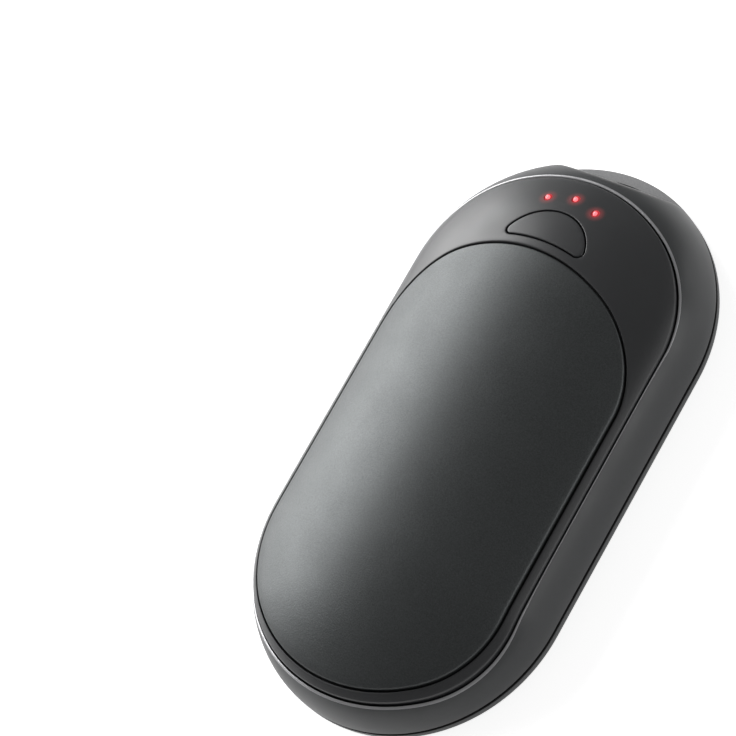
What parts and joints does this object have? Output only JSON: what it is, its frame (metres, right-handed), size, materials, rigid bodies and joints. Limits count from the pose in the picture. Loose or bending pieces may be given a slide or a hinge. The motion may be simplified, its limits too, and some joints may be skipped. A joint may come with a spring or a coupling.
{
  "type": "rechargeable hand warmer",
  "caption": "Palm-sized rechargeable hand warmer with a domed metal heat plate, crescent power button, status lamps, lanyard notch and hinged port cover.",
  "frame": {"origin": "centre of the flat back face that the unit lies on", "axes": "+Z out of the domed front, +Y along the length towards the button and the lanyard notch, +X to the right when the button end is up, so that the port cover is on the -X side"},
  "size_m": [0.0521, 0.096, 0.017],
  "materials": {
    "heat_plate": "fine sparkling grain, satin",
    "face_shell": "smooth satin",
    "side_frame": "smooth satin",
    "back_cover": "smooth satin",
    "power_button": "smooth satin",
    "light_pipes": "lit red",
    "port_cover": "satin silicone",
    "port_cover_anchor": "satin silicone",
    "main_board": "green solder mask",
    "usb_shell": "nickel plated",
    "usb_tongue": "black with gold contacts",
    "tact_switch": "black",
    "switch_plunger": "black",
    "status_emitters": "cream package",
    "light_baffle": "black",
    "control_chips": "black epoxy",
    "heater_transistors": "black epoxy",
    "power_inductor": "ferrite grey",
    "board_capacitors": "tan ceramic",
    "board_resistors": "black",
    "battery_connector": "natural white",
    "board_screws": "plated",
    "battery_cell": "laminated pouch foil",
    "battery_tabs": "nickel",
    "battery_guard_board": "green solder mask",
    "battery_leads": "red insulation",
    "battery_tray": "satin",
    "front_heater_film": "amber polyimide",
    "back_heater_film": "amber polyimide",
    "battery_pad": "soft grey",
    "front_sponge": "open foam",
    "film_leads": "white insulation",
    "temperature_sensor": "black bead",
    "thermal_fuse": "metal can",
    "plate_adhesive": "black tape",
    "magnets": "nickel plated"
  },
  "bodies": {
    "housing": {"heat_plate": "heat_plate", "face_shell": "face_shell", "side_frame": "side_frame", "back_cover": "back_cover", "light_pipes": "light_pipes", "port_cover_anchor": "port_cover_anchor", "main_board": "main_board", "usb_shell": "usb_shell", "usb_tongue": "usb_tongue", "tact_switch": "tact_switch", "status_emitters": "status_emitters", "light_baffle": "light_baffle", "control_chips": "control_chips", "heater_transistors": "heater_transistors", "power_inductor": "power_inductor", "board_capacitors": "board_capacitors", "board_resistors": "board_resistors", "battery_connector": "battery_connector", "board_screws": "board_screws", "battery_cell": "battery_cell", "battery_tabs": "battery_tabs", "battery_guard_board": "battery_guard_board", "battery_leads": "battery_leads", "battery_tray": "battery_tray", "front_heater_film": "front_heater_film", "back_heater_film": "back_heater_film", "battery_pad": "battery_pad", "front_sponge": "front_sponge", "film_leads": "film_leads", "temperature_sensor": "temperature_sensor", "thermal_fuse": "thermal_fuse", "plate_adhesive": "plate_adhesive", "magnets": "magnets"},
    "button": {"power_button": "power_button", "switch_plunger": "switch_plunger"},
    "cover": {"port_cover": "port_cover"}
  },
  "joints": [
    {"name": "button_press", "type": "slide", "parent": "housing", "child": "button", "axis": [0, 0, -1], "range_m": [0, 0.0004], "stiffness_N_per_m": 3000},
    {"name": "port_cover_hinge", "type": "hinge", "parent": "housing", "child": "cover", "pos_m": [-0.01673, 0.0419, 0.0041], "axis": [0, 0, -1], "range_deg": [0, 100]}
  ]
}
